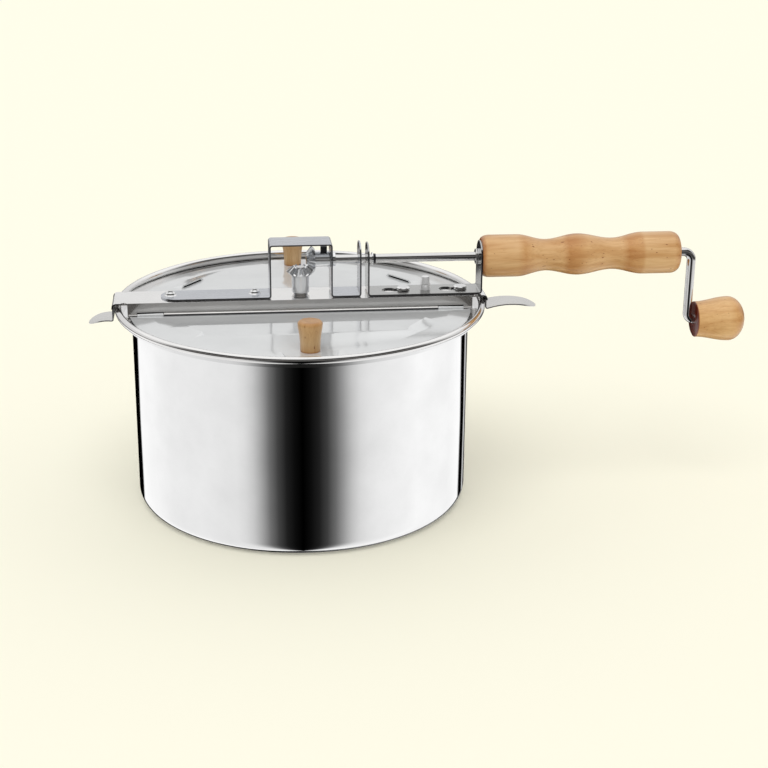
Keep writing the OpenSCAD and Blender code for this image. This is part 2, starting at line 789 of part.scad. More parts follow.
// Crank rod: tang, long bar, arm, knob's journal and riveted end
module crank_rod() {
    rivet_x = knob_end - rivet_room;
    color("lightslategray") union() {
        block([rod_start - tang_l, -tang_t / 2, axis_z - 0.9 * rod_r],
            [rod_start + lap, tang_t / 2, axis_z + 0.9 * rod_r]);
        bar(rod_start, arm_x - bend_r, rod_r, 0, axis_z);
        translate([arm_x - bend_r, 0, axis_z - bend_r]) rotate([90, 0, 0])
            rotate_extrude(angle = 90) translate([bend_r, 0]) circle(rod_r);
        post(knob_z + low_bend_r, axis_z - bend_r, rod_r, arm_x);
        translate([arm_x + low_bend_r, 0, knob_z + low_bend_r]) rotate([90, 180, 0])
            rotate_extrude(angle = 90) translate([low_bend_r, 0]) circle(rod_r);
        bar(arm_x + low_bend_r, rivet_x + washer_t + 2 * snug, rod_r, 0, knob_z);
        translate([rivet_x + washer_t + 2 * snug, 0, knob_z]) rotate([0, 90, 0])
            cylinder(r1 = rivet_r, r2 = 0.6 * rivet_r, h = rivet_h);
    }
}

// Ring of radius r on a shaft along X, from x0, t wide
module shaft_ring(x0, t, r) {
    difference() {
        bar(x0, x0 + t, r, 0, axis_z);
        bar(x0 - over, x0 + t + over, rod_r + snug, 0, axis_z);
    }
}

module rod_collar() {
    color("silver") shaft_ring(bracket_x + strip_t + collar_gap, rod_collar_t, rod_r + rod_collar_wall);
}

module retaining_ring() {
    color("black") shaft_ring(bracket_x + strip_t + ring_gap, ring_t, rod_r + ring_wall);
}

module push_nut() {
    left = bracket_end - strip_t - tube_flange_t - push_nut_gap - push_nut_t;
    color("gray") shaft_ring(left, push_nut_t, tube_flange_r);
}

// Turned crank knob, bored for the journal and its riveted end
module crank_knob() {
    r = crank_knob_d / 2;
    face = crank_knob_face_d / 2;
    body = wood_outline(knob_x, crank_knob_l, crank_knob_shares, face, r);
    swell = knob_x + crank_knob_shares[1][0] * crank_knob_l;
    rest = knob_end - swell;
    color("goldenrod") difference() {
        turned(concat([[knob_x, 0], [knob_x, face - face_round], [knob_x + face_round / 2, face]],
            [for (i = [2:len(body) - 1]) body[i]],
            [for (a = [80:-10:10]) [swell + rest * cos(a), r * sin(a)]],
            [[knob_end, 0]]), knob_z);
        bar(knob_x - over, knob_end + over, rod_r + 1.5 * run_fit, 0, knob_z);
        bar(knob_end - rivet_room, knob_end + over, washer_r + seat_gap, 0, knob_z);
    }
}

module crank_knob_washer() {
    x0 = knob_end - rivet_room + snug;
    color("silver") difference() {
        bar(x0, x0 + washer_t, washer_r, 0, knob_z);
        bar(x0 - over, x0 + washer_t + over, rod_r + snug, 0, knob_z);
    }
}

// Half the angle that a gear tooth fills at the distance d from the back cone's apex
function half_tooth(d) =
    let (base_d = sqrt(2) * gear_r * cos(pressure_angle), p = max(d, base_d),
        a = acos(min(1, base_d / p)),
        inv_p = tan(pressure_angle) * 180 / PI - pressure_angle,
        inv_a = tan(a) * 180 / PI - a)
    sqrt(2) * (90 / (sqrt(2) * gear_teeth) * (1 - backlash_share) + inv_p - inv_a);

// Point on the back cone at the distance d from its apex and the angle a
function gear_point(d, a) =
    [d / sqrt(2) * cos(a), d / sqrt(2) * sin(a), d / sqrt(2) - 2 * gear_r];

gear_tip_d = sqrt(2) * gear_r + addendum_share * gear_module;
gear_root_d = sqrt(2) * gear_r - dedendum_share * gear_module;
gear_root_drop = 2 * gear_r - gear_root_d / sqrt(2);
gear_flank = [for (s = flank_shares) gear_root_d + s * (gear_tip_d - gear_root_d)];

// Toothed part of a bevel gear with its cones' apex at the origin, teeth upwards:
// rings of points round the back, each drawn in towards the apex for the front
module bevel_teeth(phase) {
    places = [for (t = [0:gear_teeth - 1], side = [-1, 1])
        let (a = phase + 360 * t / gear_teeth, f = side < 0 ? gear_flank : reversed(gear_flank))
        each [for (d = f) [d, a + side * half_tooth(d)]]];
    n = len(places);
    back = [for (p = places) gear_point(p[0], p[1])];
    inner = [for (p = places) gear_point(gear_root_d, p[1])];
    core = [for (q = inner) [core_share * q[0], core_share * q[1], q[2]]];
    points = concat(back, cone_share * back, core, cone_share * core,
        [[0, 0, -gear_root_drop], [0, 0, -cone_share * gear_root_drop]]);
    faces = [for (i = [0:n - 1]) let (j = (i + 1) % n) each [
        [i, n + i, n + j], [i, n + j, j],
        [2 * n + i, i, j], [2 * n + i, j, 2 * n + j], [4 * n, 2 * n + i, 2 * n + j],
        [3 * n + i, n + j, n + i], [3 * n + i, 3 * n + j, n + j], [4 * n + 1, 3 * n + j, 3 * n + i]]];
    polyhedron(points, faces);
}

// Gear on the crank's shaft: its hub takes the set screw from above
module pinion_gear() {
    hub_end = frame_x - strip_t - seat_gap;
    screw_x = hub_end - pinion_screw_inset;
    color("gainsboro") difference() {
        union() {
            translate([0, 0, axis_z]) rotate([0, -90, 0])
                bevel_teeth(180 / gear_teeth);
            bar(gear_root_drop - lap, hub_end, hub_r, 0, axis_z);
        }
        bar(0, hub_end + over, rod_r + snug, 0, axis_z);
        post(axis_z, axis_z + hub_r + over, grub_d / 2 + snug, screw_x);
    }
}

// Square-headed screw in the pinion's hub
module pinion_set_screw() {
    screw_x = frame_x - strip_t - seat_gap - pinion_screw_inset;
    head = 1.3 * grub_d;
    low = axis_z + hub_r + head_gap;
    color("black") union() {
        post(axis_z + rod_r + snug, low + lap, grub_d / 2, screw_x);
        block([screw_x - head / 2, -head / 2, low], [screw_x + head / 2, head / 2, low + 0.9 * head]);
    }
}

// Short shaft from the pinion to the slot that takes the crank rod's tang
module pinion_shaft() {
    start = gear_root_drop * cone_share - pinion_shaft_out;
    color("lightslategray") difference() {
        bar(start, shaft_end, rod_r, 0, axis_z);
        block([rod_start - tang_l - 2 * tang_fit, -tang_t / 2 - tang_fit, axis_z - rod_r - over],
            [shaft_end + over, tang_t / 2 + tang_fit, axis_z + rod_r + over]);
    }
}

module shaft_washer() {
    color("silver") shaft_ring(frame_x + washer_gap, shaft_washer_t, rod_r + shaft_washer_wall);
}

// Gear on the stirrer's shaft, a tooth towards the pinion
module stirrer_gear() {
    low = bridge_top + bush_flange_t + seat_gap;
    color("gainsboro") difference() {
        union() {
            translate([0, 0, axis_z]) bevel_teeth(0);
            post(low, axis_z - gear_root_drop + lap, lower_hub_r);
        }
        post(low - over, axis_z, rod_r + snug);
        translate([0, 0, low + stir_screw_rise]) rotate([-90, 0, 0])
            cylinder(d = grub_d + 2 * snug, h = gear_r);
    }
}

// Headless screw in the lower gear's hub
module stirrer_set_screw() {
    low = bridge_top + bush_flange_t + seat_gap;
    color("black") translate([0, rod_r + snug, low + stir_screw_rise]) rotate([-90, 0, 0]) difference() {
        cylinder(d = grub_d, h = lower_hub_r - rod_r - grub_inset);
        translate([0, 0, grub_d / 3]) cylinder(d = grub_d / 2, h = lower_hub_r, $fn = 6);
    }
}

// Upright shaft from the lower gear to the hub over the pot's floor
module stirrer_shaft() {
    top = axis_z - cone_share * gear_root_drop + stir_shaft_out;
    clip_z = bridge_under - bush_drop - seat_gap - clip_t;
    color("lightslategray") difference() {
        post(stir_z + stir_wire_d / 2 + seat_gap, top, rod_r);
        difference() {
            post(clip_z - snug, clip_z + clip_t + snug, rod_r + over);
            post(clip_z - over, clip_z + clip_t + over, rod_r - groove_depth);
        }
    }
}

// Flanged bush of that shaft in the bridge
module stirrer_bush() {
    color("darkslategray") difference() {
        union() {
            post(bridge_top + snug, bridge_top + bush_flange_t, bush_flange_r);
            post(bridge_under - bush_drop, bridge_top + over, bush_r);
        }
        post(bridge_under - bush_drop - over, bridge_top + bush_flange_t + over, rod_r + run_fit);
    }
}

// Clip in the shaft's groove under the bush
module shaft_clip() {
    clip_z = bridge_under - bush_drop - seat_gap - clip_t;
    inner = rod_r - groove_depth + snug;
    color("black") difference() {
        post(clip_z, clip_z + clip_t, clip_r);
        post(clip_z - over, clip_z + clip_t + over, inner);
        block([0, -0.8 * inner, clip_z - over], [clip_r + over, 0.8 * inner, clip_z + clip_t + over]);
    }
}

// Hub at the shaft's foot, cross-drilled for the wire
module stirrer_hub() {
    color("silver") difference() {
        post(hub_low, hub_low + hub_h, foot_hub_r);
        post(stir_z + stir_wire_d / 2 + seat_gap, hub_low + hub_h + over, rod_r + snug);
        bar(-foot_hub_r - over, foot_hub_r + over, stir_wire_d / 2 + snug, 0, stir_z);
    }
}

// Half of the stirrer wire: straight arm, bend and hook, to the reach of the stirrer
module stirrer_arm() {
    arm = stir_reach - stir_hook_l * cos(stir_turn) - stir_wire_d;
    bar(-snug, arm, stir_wire_d / 2, 0, stir_z);
    translate([arm, 0, stir_z]) {
        sphere(stir_wire_d / 2 + snug);
        rotate([0, 90, stir_turn]) cylinder(d = stir_wire_d, h = stir_hook_l);
    }
}

// Bent wire that sweeps the floor, through the hub
module stirrer_wires() {
    color("silver") union() {
        stirrer_arm();
        rotate([0, 0, 180]) stirrer_arm();
    }
}

pot();
bridge();
front_lid();
rear_lid();
lid_knob(-1);  // front_knob
lid_knob(1);  // rear_knob
knob_screw(-1);  // front_knob_screw
knob_screw(1);  // rear_knob_screw
hinge_wire(-1);  // front_hinge_wire
hinge_wire(1);  // rear_hinge_wire
left_latch();
right_latch();
gear_frame();
frame_screws();
frame_nuts();
keyhole_studs();
handle_bracket();
locking_plunger();
plunger_spring();
plunger_sleeve();
handle_tube();
wood_handle();
crank_rod();
rod_collar();
retaining_ring();
push_nut();
crank_knob();
crank_knob_washer();
pinion_gear();
pinion_shaft();
pinion_set_screw();
shaft_washer();
stirrer_gear();
stirrer_set_screw();
stirrer_shaft();
stirrer_bush();
shaft_clip();
stirrer_hub();
stirrer_wires();
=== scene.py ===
"""Dresses the stovetop popcorn popper's frame with finished surfaces and lights it."""

import json
import logging
import math
from dataclasses import dataclass, field
from enum import Enum

import bmesh
import bpy
import numpy as np
from mathutils import Matrix, Vector

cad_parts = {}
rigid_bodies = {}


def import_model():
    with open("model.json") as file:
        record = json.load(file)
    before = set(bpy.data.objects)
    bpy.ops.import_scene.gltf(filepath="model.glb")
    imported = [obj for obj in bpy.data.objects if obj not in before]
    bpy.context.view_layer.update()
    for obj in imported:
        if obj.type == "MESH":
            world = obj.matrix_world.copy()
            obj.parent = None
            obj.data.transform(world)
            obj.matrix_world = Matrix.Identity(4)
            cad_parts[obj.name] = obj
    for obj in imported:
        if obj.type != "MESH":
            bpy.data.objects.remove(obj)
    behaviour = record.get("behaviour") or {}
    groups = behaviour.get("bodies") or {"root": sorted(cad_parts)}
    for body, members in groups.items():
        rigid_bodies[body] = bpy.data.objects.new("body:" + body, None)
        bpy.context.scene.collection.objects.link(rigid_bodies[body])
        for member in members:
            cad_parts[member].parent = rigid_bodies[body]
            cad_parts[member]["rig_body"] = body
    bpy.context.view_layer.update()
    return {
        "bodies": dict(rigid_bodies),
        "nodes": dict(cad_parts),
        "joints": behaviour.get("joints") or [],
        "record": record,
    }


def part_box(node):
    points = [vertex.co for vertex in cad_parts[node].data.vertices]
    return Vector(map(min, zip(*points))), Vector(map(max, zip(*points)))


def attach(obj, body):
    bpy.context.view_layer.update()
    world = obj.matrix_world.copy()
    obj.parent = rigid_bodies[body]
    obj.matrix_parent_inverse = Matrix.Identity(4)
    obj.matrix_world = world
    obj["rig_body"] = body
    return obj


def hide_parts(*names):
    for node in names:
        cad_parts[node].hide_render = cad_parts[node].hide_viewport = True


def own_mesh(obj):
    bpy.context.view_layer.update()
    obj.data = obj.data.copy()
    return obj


LOG = logging.getLogger("popper")
MM = 0.001
Point = tuple[float, float, float]
Colour = tuple[float, float, float]
Range = tuple[float, float]
Socket = bpy.types.NodeSocket
WHITE = (1.0, 1.0, 1.0)
# Sockets of a Mix node that mixes colours, by their number
MIX_FACTOR, MIX_A, MIX_B, MIX_RESULT = 0, 6, 7, 2
# Distances, in metres, under which points count as one
TURNED_GAP, SHORTEST_EDGE, COPIED_GAP = 0.0005 * MM, 0.0002 * MM, 0.002 * MM
# Angle between two faces, in degrees, under which a copied face counts as flat
FLAT_ANGLE = 0.5


class Grain(Enum):
    """Direction of the fine lines that rolling, drawing or turning leaves in a metal."""

    EVEN = (1.0, 1.0, 1.0)
    ALONG_X = (0.02, 1.0, 1.0)


class Axis(Enum):
    """Axis that a turned piece is made about."""

    X = "x"
    Z = "z"


class Nodes:
    """The node tree of a material or a world."""

    def __init__(self, owner: bpy.types.Material | bpy.types.World) -> None:
        """Empties the owner's tree.

        Args:
            owner: a new material or world.
        """
        owner.use_nodes = True
        self.tree = owner.node_tree
        self.tree.nodes.clear()

    def add(self, kind: str, **settings: object) -> bpy.types.Node:
        """Adds a node.

        Args:
            kind: Blender's name of the node type.
            settings: properties of the node, by name.

        Returns:
            The new node.
        """
        node = self.tree.nodes.new(kind)
        for key, value in settings.items():
            setattr(node, key, value)
        return node

    def colour_ramp(self, stops: list[tuple[float, Colour]]) -> bpy.types.Node:
        """Adds a colour ramp.

        Args:
            stops: places from 0 to 1 with their colours.

        Returns:
            The Color Ramp node.
        """
        node = self.add("ShaderNodeValToRGB")
        elements = node.color_ramp.elements
        while len(elements) < len(stops):
            elements.new(0.5)
        for element, (place, colour) in zip(elements, stops):
            element.position = place
            element.color = (*colour, 1.0)
        return node


class Graph(Nodes):
    """A material's node graph, built from short calls."""

    def __init__(self, name: str) -> None:
        """Starts an empty material with a Principled shader.

        Args:
            name: the material's name.
        """
        self.material = bpy.data.materials.new(name)
        super().__init__(self.material)
        self.shader = self.add("ShaderNodeBsdfPrincipled")
        output = self.add("ShaderNodeOutputMaterial")
        self.link(self.shader, "BSDF", output, "Surface")

    def link(self, a: bpy.types.Node, out: str | int, b: bpy.types.Node, into: str | int) -> None:
        """Joins an output of one node to an input of another.

        Args:
            a: node that gives the value.
            out: its output, by name or number.
            b: node that takes the value.
            into: its input, by name or number.
        """
        self.tree.links.new(a.outputs[out], b.inputs[into])

    def object_point(self, scale: Point = (1.0, 1.0, 1.0)) -> bpy.types.Node:
        """Object coordinates, scaled.

        Args:
            scale: cells per metre along each axis.

        Returns:
            The Mapping node, whose output is the point.
        """
        where = self.add("ShaderNodeTexCoord")
        mapping = self.add("ShaderNodeMapping")
        mapping.inputs["Scale"].default_value = scale
        self.link(where, "Object", mapping, "Vector")
        return mapping

    def noise(self, point: bpy.types.Node, detail: float,
              distortion: float = 0.0) -> bpy.types.Node:
        """Noise over a point, one cell per unit.

        Args:
            point: node that gives the point, which is scaled already.
            detail: number of octaves.
            distortion: how far the pattern is bent.

        Returns:
            The Noise node.
        """
        node = self.add("ShaderNodeTexNoise")
        node.inputs["Scale"].default_value = 1.0
        node.inputs["Detail"].default_value = detail
        node.inputs["Distortion"].default_value = distortion
        self.link(point, "Vector", node, "Vector")
        return node

    def ramp(self, source: bpy.types.Node, out: str,
             stops: list[tuple[float, Colour]]) -> bpy.types.Node:
        """Colour ramp over one output of a node.

        Args:
            source: node that drives the ramp.
            out: its output.
            stops: places from 0 to 1 with their colours.

        Returns:
            The Color Ramp node.
        """
        node = self.colour_ramp(stops)
        self.link(source, out, node, "Fac")
        return node

    def map_range(self, source: bpy.types.Node, out: str, low: float, high: float,
                  start: float = 0.0, end: float = 1.0) -> bpy.types.Node:
        """Maps start..end of one output to low..high.

        Args:
            source: node that gives the value.
            out: its output.
            low: result at start.
            high: result at end.
            start: source value that gives low.
            end: source value that gives high.

        Returns:
            The Map Range node.
        """
        node = self.add("ShaderNodeMapRange")
        node.inputs["From Min"].default_value = start
        node.inputs["From Max"].default_value = end
        node.inputs["To Min"].default_value = low
        node.inputs["To Max"].default_value = high
        self.link(source, out, node, "Value")
        return node

    def bump(self, source: bpy.types.Node, out: str, strength: float, depth: float) -> None:
        """Bends the shader's normal by a height.

        Args:
            source: node that gives the height.
            out: its output.
            strength: how much of the bend is used.
            depth: height in metres that a value of 1 stands for.
        """
        node = self.add("ShaderNodeBump")
        node.inputs["Strength"].default_value = strength
        node.inputs["Distance"].default_value = depth
        self.link(source, out, node, "Height")
        self.link(node, "Normal", self.shader, "Normal")


class Sky(Nodes):
    """A world's node graph, built from short calls on sockets."""

    def __init__(self, name: str) -> None:
        """Starts an empty world and makes it the scene's.

        Args:
            name: the world's name.
        """
        world = bpy.data.worlds.new(name)
        bpy.context.scene.world = world
        super().__init__(world)

    def direction(self) -> tuple[Socket, Socket, Socket]:
        """The direction looked in.

        Returns:
            Its x, y and z.
        """
        split = self.add("ShaderNodeSeparateXYZ")
        self.tree.links.new(self.add("ShaderNodeTexCoord").outputs["Generated"], split.inputs[0])
        return tuple(split.outputs[axis] for axis in "XYZ")

    def joined(self, operation: str, a: Socket | float, b: Socket | float) -> Socket:
        """Joins two values with one operation.

        Args:
            operation: Blender's name of it.
            a: first value, a socket or a number.
            b: second value.

        Returns:
            The result.
        """
        node = self.add("ShaderNodeMath", operation=operation)
        for socket, value in zip(node.inputs, (a, b)):
            if isinstance(value, (int, float)):
                socket.default_value = value
            else:
                self.tree.links.new(value, socket)
        return node.outputs[0]

    def ramp(self, source: Socket, stops: list[tuple[float, Colour]]) -> Socket:
        """Colours over a value from 0 to 1.

        Args:
            source: the value.
            stops: places with their colours.

        Returns:
            The colour.
        """
        node = self.colour_ramp(stops)
        self.tree.links.new(source, node.inputs["Fac"])
        return node.outputs["Color"]

    def share(self, source: Socket, start: float, end: float) -> Socket:
        """Smooth share from 0 to 1 as a value goes from start to end.

        Args:
            source: the value.
            start: value that gives 0.
            end: value that gives 1.

        Returns:
            The share.
        """
        node = self.add("ShaderNodeMapRange", interpolation_type="SMOOTHSTEP")
        node.inputs["From Min"].default_value = start
        node.inputs["From Max"].default_value = end
        self.tree.links.new(source, node.inputs["Value"])
        return node.outputs["Result"]

    def mixed(self, factor: Socket, a: Socket, b: Socket) -> Socket:
        """Mixes two colours.

        Args:
            factor: share of b.
            a: colour at factor 0.
            b: colour at factor 1.

        Returns:
            The mixed colour.
        """
        node = self.add("ShaderNodeMix", data_type="RGBA")
        for place, socket in ((MIX_FACTOR, factor), (MIX_A, a), (MIX_B, b)):
            self.tree.links.new(socket, node.inputs[place])
        return node.outputs[MIX_RESULT]

    def background(self, colour: Socket | Colour, strength: float) -> Socket:
        """Light from all round.

        Args:
            colour: its colour, as a socket or a constant.
            strength: its strength.

        Returns:
            The shader.
        """
        node = self.add("ShaderNodeBackground")
        node.inputs["Strength"].default_value = strength
        if isinstance(colour, tuple):
            node.inputs["Color"].default_value = (*colour, 1.0)
        else:
            self.tree.links.new(colour, node.inputs["Color"])
        return node.outputs[0]

    def by_ray(self, ray: str, others: Socket, shader: Socket) -> Socket:
        """Shows one shader to rays of a kind and another to the rest.

        Args:
            ray: output of the Light Path node for that kind.
            others: shader for the rest.
            shader: shader for that kind.

        Returns:
            The chosen shader.
        """
        node = self.add("ShaderNodeMixShader")
        is_ray = self.add("ShaderNodeLightPath").outputs[ray]
        for place, socket in enumerate((is_ray, others, shader)):
            self.tree.links.new(socket, node.inputs[place])
        return node.outputs[0]

    def finish(self, shader: Socket) -> None:
        """Gives the world its shader.

        Args:
            shader: the shader.
        """
        output = self.add("ShaderNodeOutputWorld")
        self.tree.links.new(shader, output.inputs["Surface"])


@dataclass(frozen=True)
class Metal:
    """A metal finish: colour, gloss and the lines that its making left.

    The lines bend the light by line_depth, in metres, and vary the roughness by spread either
    way. Soft clouds, some centimetres wide, take the colour down to cloud_tone of itself. The
    ranges are the noise's values between which each change takes place.
    """

    name: str
    colour: Colour
    roughness: float
    grain: Grain
    lines_per_mm: float
    line_depth: float
    spread: float = 0.06
    metallic: float = 1.0
    octaves: float = 3.0
    line_strength: float = 0.6
    line_range: Range = (0.25, 0.75)
    least_roughness: float = 0.02
    clouds_per_metre: float = 40.0
    cloud_tone: float = 0.93
    cloud_range: Range = (0.3, 0.7)

    def material(self) -> bpy.types.Material:
        """Builds the finish: fine lines bend the light and vary the roughness.

        Returns:
            The new material.
        """
        g = Graph(self.name)
        g.shader.inputs["Metallic"].default_value = self.metallic
        per_metre = self.lines_per_mm / MM
        point = g.object_point(tuple(per_metre * s for s in self.grain.value))
        lines = g.noise(point, self.octaves)
        cloud = g.noise(g.object_point((self.clouds_per_metre,) * 3), self.octaves)
        dark = tuple(self.cloud_tone * c for c in self.colour)
        tint = g.ramp(cloud, "Fac", list(zip(self.cloud_range, (dark, self.colour))))
        g.link(tint, "Color", g.shader, "Base Color")
        low = max(self.roughness - self.spread, self.least_roughness)
        rough = g.map_range(lines, "Fac", low, self.roughness + self.spread, *self.line_range)
        g.link(rough, "Result", g.shader, "Roughness")
        g.bump(lines, "Fac", self.line_strength, self.line_depth)
        return g.material


@dataclass(frozen=True)
class Wood:
    """Turned, lacquered hardwood with its grain along one axis.

    rings holds (share of the length, brightness): where the lathe cut across the fibres the
    open end grain takes the lacquer and stands darker, and more so in green and blue, by
    end_powers. start and length say where the piece lies along its axis, in metres. The cells
    are (cells per millimetre across the grain, share of that along it), and the ranges are the
    noise's values between which bands, fibres and flecks change from dark to light.
    """

    name: str
    light: Colour
    dark: Colour
    axis: Axis
    start: float
    length: float
    rings: tuple[tuple[float, float], ...]
    band_cells: Range = (0.22, 0.10)
    band_octaves: float = 2.0
    band_bend: float = 0.4
    band_range: Range = (0.34, 0.62)
    fibre_cells: Range = (2.4, 0.04)
    fibre_octaves: float = 3.0
    fibre_range: Range = (0.32, 0.52)
    fibre_tone: Colour = (0.87, 0.81, 0.74)
    fibre_strength: float = 0.3
    fibre_depth: float = 0.04 * MM
    fleck_cells: Range = (0.75, 0.42)
    fleck_octaves: float = 1.0
    fleck_range: Range = (0.735, 0.765)
    fleck_tone: Colour = (0.42, 0.25, 0.13)
    end_powers: Point = (1.0, 2.0, 3.4)
    roughness: Range = (0.29, 0.41)
    coat: float = 0.22
    coat_roughness: float = 0.2

    def stretched(self, g: Graph, per_mm: float, stretch: float) -> bpy.types.Node:
        """Object coordinates drawn out along the grain.

        Args:
            g: the graph.
            per_mm: cells per millimetre across the grain.
            stretch: the same along the grain, as a share.

        Returns:
            The Mapping node.
        """
        along = per_mm * stretch / MM
        across = per_mm / MM
        scale = (along, across, across) if self.axis is Axis.X else (across, across, along)
        return g.object_point(scale)

    def material(self) -> bpy.types.Material:
        """Builds the wood: soft growth bands, fine fibres, small flecks and darker end grain.

        Returns:
            The new material.
        """
        g = Graph(self.name)
        bands = g.noise(self.stretched(g, *self.band_cells), self.band_octaves, self.band_bend)
        fibres = g.noise(self.stretched(g, *self.fibre_cells), self.fibre_octaves)
        flecks = g.noise(self.stretched(g, *self.fleck_cells), self.fleck_octaves)
        body = g.ramp(bands, "Fac", list(zip(self.band_range, (self.dark, self.light))))
        thread = g.ramp(fibres, "Fac", list(zip(self.fibre_range, (self.fibre_tone, WHITE))))
        fleck = g.ramp(flecks, "Fac", list(zip(self.fleck_range, (WHITE, self.fleck_tone))))
        split = g.add("ShaderNodeSeparateXYZ")
        g.link(g.object_point(), "Vector", split, "Vector")
        place = g.map_range(split, self.axis.name, 0.0, 1.0, self.start, self.start + self.length)
        ends = g.ramp(place, "Result", [(share, tuple(tone ** power for power in self.end_powers))
                                        for share, tone in self.rings])
        colour = body
        out: int | str = "Color"
        for layer in (thread, fleck, ends):
            mix = g.add("ShaderNodeMix", data_type="RGBA", blend_type="MULTIPLY")
            mix.inputs[MIX_FACTOR].default_value = 1.0
            g.link(colour, out, mix, MIX_A)
            g.link(layer, "Color", mix, MIX_B)
            colour, out = mix, MIX_RESULT
        g.link(colour, out, g.shader, "Base Color")
        rough = g.map_range(fibres, "Fac", *self.roughness)
        g.link(rough, "Result", g.shader, "Roughness")
        g.shader.inputs["Coat Weight"].default_value = self.coat
        g.shader.inputs["Coat Roughness"].default_value = self.coat_roughness
        g.bump(fibres, "Fac", self.fibre_strength, self.fibre_depth)
        return g.material


FINISHES: dict[str, Metal | Wood] = {
    "polished": Metal("polished_pot_steel", (0.90, 0.90, 0.90), 0.045,
        Grain.EVEN, 1.0, 0.0006 * MM, 0.02),
    "rim": Metal("rolled_rim_steel", (0.84, 0.83, 0.82), 0.09,
        Grain.EVEN, 2.0, 0.0015 * MM, 0.04),
    "satin": Metal("satin_lid_steel", (0.74, 0.75, 0.75), 0.12,
        Grain.ALONG_X, 2.0, 0.0015 * MM, 0.03, 0.38),
    "bridge": Metal("pressed_bridge_steel", (0.97, 0.96, 0.945), 0.15,
        Grain.ALONG_X, 2.0, 0.0015 * MM, 0.04),
    "strip": Metal("zinc_plated_strip", (0.585, 0.60, 0.635), 0.26,
        Grain.ALONG_X, 3.0, 0.002 * MM),
    "bracket": Metal("nickel_plated_bracket", (0.50, 0.50, 0.49), 0.20,
        Grain.ALONG_X, 2.0, 0.002 * MM, 0.04),
    # Painted shade: a darker copy of the bridge's steel, for the bridge's faces that don't face up
    "side": Metal("painted_shade_side_steel", (0.60, 0.59, 0.575), 0.14,
        Grain.ALONG_X, 2.0, 0.0015 * MM, 0.04),
    # Painted shade: near-black steel for the undersides of the bridge's rolls and the strips' cut
    # edges
    "edge": Metal("painted_shade_dark_steel", (0.15, 0.15, 0.155), 0.28,
        Grain.ALONG_X, 3.0, 0.002 * MM),
    "chrome": Metal("chromed_cap", (0.95, 0.95, 0.95), 0.08,
        Grain.EVEN, 2.0, 0.001 * MM, 0.03, 0.45),
    "fastener": Metal("plated_fasteners", (0.84, 0.84, 0.84), 0.09,
        Grain.EVEN, 2.0, 0.002 * MM, 0.04),
    "spring": Metal("spring_steel", (0.72, 0.71, 0.69), 0.22,
        Grain.ALONG_X, 2.5, 0.002 * MM),
    "shaft": Metal("drawn_rod_steel", (0.74, 0.73, 0.72), 0.08,
        Grain.ALONG_X, 3.0, 0.002 * MM, 0.04),
    "gear": Metal("sintered_gear_metal", (0.92, 0.93, 0.94), 0.10,
        Grain.EVEN, 4.0, 0.002 * MM, 0.03, 0.88),
    "hub": Metal("turned_hub_metal", (0.95, 0.96, 0.97), 0.12,
        Grain.EVEN, 3.0, 0.001 * MM, 0.03, 0.55),
    "black": Metal("black_oxide", (0.025, 0.025, 0.028), 0.38,
        Grain.EVEN, 4.0, 0.006 * MM, 0.06, 0.6),
    "handle_wood": Wood(
        "handle_hardwood", (0.72, 0.465, 0.23), (0.58, 0.325, 0.13), Axis.X,
        start=0.1151, length=0.1288,
        rings=((0.0, 0.62), (0.02, 0.93), (0.17, 0.98), (0.21, 0.84), (0.26, 0.96), (0.40, 0.95),
               (0.43, 0.78), (0.475, 0.82), (0.53, 0.94), (0.70, 0.95), (0.735, 0.77),
               (0.80, 0.86), (0.815, 0.98), (0.96, 0.97), (1.0, 0.74))),
    "knob_wood": Wood(
        "lid_knob_hardwood", (0.60, 0.385, 0.185), (0.50, 0.30, 0.125), Axis.Z,
        start=0.1265, length=0.0183,
        rings=((0.0, 0.62), (0.06, 0.93), (0.3, 1.04), (0.85, 0.98), (0.95, 0.88), (1.0, 0.84))),
    "crank_wood": Wood(
        "crank_knob_hardwood", (0.74, 0.465, 0.21), (0.60, 0.33, 0.125), Axis.X,
        start=0.2581, length=0.0342,
        rings=((0.0, 0.16), (0.012, 0.30), (0.03, 0.95), (0.6, 1.0), (0.78, 0.88), (1.0, 0.8))),
}


class Finishes:
    """Makes each material once and hands it out by name."""

    def __init__(self) -> None:
        """Starts with no material made."""
        self.made: dict[str, bpy.types.Material] = {}

    def get(self, name: str) -> bpy.types.Material:
        """The material of a finish, made at its first use.

        Args:
            name: the finish's name.

        Returns:
            Its material.
        """
        if name not in self.made:
            self.made[name] = FINISHES[name].material()
        return self.made[name]


def grid_faces(rows: int, columns: int, round_rows: bool, round_columns: bool) -> np.ndarray:
    """Faces of a grid of points, four corners each.

    Args:
        rows: number of rows.
        columns: number of points in a row.
        round_rows: whether the last row joins the first.
        round_columns: whether each row is a closed ring.

    Returns:
        Integer array of shape (faces, 4).
    """
    i = np.arange(rows if round_rows else rows - 1)
    j = np.arange(columns if round_columns else columns - 1)
    ii, jj = np.meshgrid(i, j, indexing="ij")
    here, below = ii * columns, (ii + 1) % rows * columns
    right = (jj + 1) % columns
    ring = [here + jj, here + right, below + right, below + jj]
    return np.stack(ring, axis=-1).reshape(-1, 4)


def surface(name: str, points: np.ndarray, round_rows: bool = False, round_columns: bool = False,
            crease: float = 35.0) -> bpy.types.Object:
    """A mesh from a grid of points, its poles merged, its normals outwards.

    Args:
        name: the new object's name.
        points: array of shape (rows, columns, 3), in metres.
        round_rows: whether the last row joins the first.
        round_columns: whether each row is a closed ring.
        crease: angle in degrees over which an edge stays sharp.

    Returns:
        The new object, at the origin.
    """
    rows, columns, _ = points.shape
    faces = grid_faces(rows, columns, round_rows, round_columns)
    mesh = bpy.data.meshes.new(name)
    mesh.from_pydata(points.reshape(-1, 3), [], faces)
    tidy(mesh, crease)
    piece = bpy.data.objects.new(name, mesh)
    bpy.context.scene.collection.objects.link(piece)
    return piece


